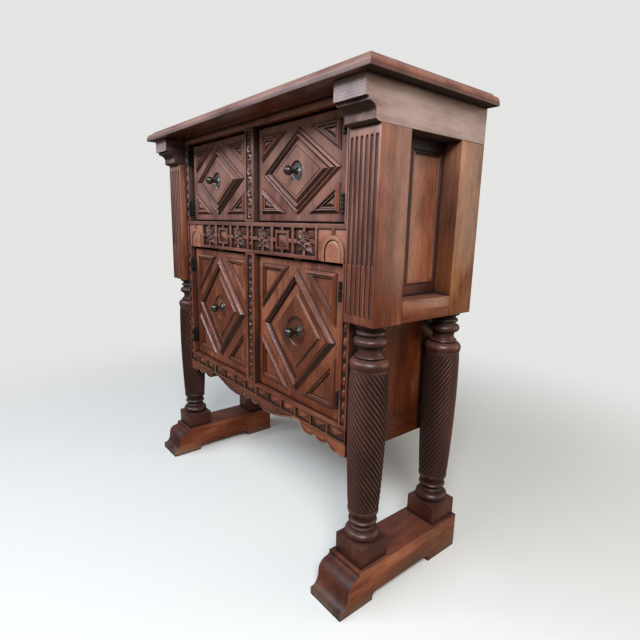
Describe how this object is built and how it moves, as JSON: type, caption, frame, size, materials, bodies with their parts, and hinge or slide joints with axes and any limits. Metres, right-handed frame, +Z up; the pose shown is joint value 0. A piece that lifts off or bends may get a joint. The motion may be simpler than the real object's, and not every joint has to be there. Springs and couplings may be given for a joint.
{
  "type": "sideboard",
  "caption": "Carved walnut sideboard: a case with an upper and a lower pair of hinged doors, hung between trestles with sled feet, turned legs and fluted posts.",
  "frame": {"origin": "on the floor, under the middle of the bounding box", "axes": "+Z up, the doors face -Y, +X is on the right of someone who faces the doors"},
  "size_m": [1.118, 0.436, 1.2],
  "materials": {
    "walnut": "waxed reddish-brown walnut, semi-gloss",
    "dark_walnut": "dark stained walnut, semi-gloss",
    "bare_wood": "unpolished inside boards and back",
    "black_iron": "blackened iron",
    "dark_pewter": "dark grey cast metal, satin"
  },
  "bodies": {
    "case": {"top_board": "walnut", "capital_left": "walnut", "front_post_left": "walnut", "rear_post_left": "walnut", "lower_rail_left": "walnut", "side_panel_left": "walnut", "foot_left": "walnut", "case_side_left": "walnut", "leg_front_left": "dark_walnut", "leg_rear_left": "dark_walnut", "capital_right": "walnut", "front_post_right": "walnut", "rear_post_right": "walnut", "lower_rail_right": "walnut", "side_panel_right": "walnut", "foot_right": "walnut", "case_side_right": "walnut", "leg_front_right": "dark_walnut", "leg_rear_right": "dark_walnut", "top_rail": "walnut", "frieze_rail": "walnut", "apron_rail": "walnut", "upper_muntin": "walnut", "upper_stile_left": "walnut", "upper_stile_right": "walnut", "lower_muntin": "walnut", "lower_stile_left": "walnut", "lower_stile_right": "walnut", "back_panel": "bare_wood", "case_bottom": "bare_wood", "middle_floor": "bare_wood", "lower_shelf": "bare_wood", "upper_door_left_top_hinge_frame_leaf": "black_iron", "upper_door_left_bottom_hinge_frame_leaf": "black_iron", "upper_door_right_top_hinge_frame_leaf": "black_iron", "upper_door_right_bottom_hinge_frame_leaf": "black_iron", "lower_door_left_top_hinge_frame_leaf": "black_iron", "lower_door_left_bottom_hinge_frame_leaf": "black_iron", "lower_door_right_top_hinge_frame_leaf": "black_iron", "lower_door_right_bottom_hinge_frame_leaf": "black_iron"},
    "upper_door_left": {"upper_door_left": "walnut", "upper_door_left_diamond": "walnut", "upper_door_left_knob": "dark_pewter", "upper_door_left_top_hinge_door_leaf": "black_iron", "upper_door_left_bottom_hinge_door_leaf": "black_iron"},
    "upper_door_right": {"upper_door_right": "walnut", "upper_door_right_diamond": "walnut", "upper_door_right_knob": "dark_pewter", "upper_door_right_top_hinge_door_leaf": "black_iron", "upper_door_right_bottom_hinge_door_leaf": "black_iron"},
    "lower_door_left": {"lower_door_left": "walnut", "lower_door_left_diamond": "walnut", "lower_door_left_knob": "dark_pewter", "lower_door_left_top_hinge_door_leaf": "black_iron", "lower_door_left_bottom_hinge_door_leaf": "black_iron"},
    "lower_door_right": {"lower_door_right": "walnut", "lower_door_right_diamond": "walnut", "lower_door_right_knob": "dark_pewter", "lower_door_right_top_hinge_door_leaf": "black_iron", "lower_door_right_bottom_hinge_door_leaf": "black_iron"}
  },
  "joints": [
    {"name": "upper_door_left_swing", "type": "hinge", "parent": "case", "child": "upper_door_left", "pos_m": [-0.4032, -0.1324, 1.0214], "axis": [0, 0, -1], "range_deg": [0, 120]},
    {"name": "upper_door_right_swing", "type": "hinge", "parent": "case", "child": "upper_door_right", "pos_m": [0.4032, -0.1324, 1.0214], "axis": [0, 0, 1], "range_deg": [0, 120]},
    {"name": "lower_door_left_swing", "type": "hinge", "parent": "case", "child": "lower_door_left", "pos_m": [-0.4032, -0.1324, 0.61045], "axis": [0, 0, -1], "range_deg": [0, 150]},
    {"name": "lower_door_right_swing", "type": "hinge", "parent": "case", "child": "lower_door_right", "pos_m": [0.4032, -0.1324, 0.61045], "axis": [0, 0, 1], "range_deg": [0, 150]}
  ]
}
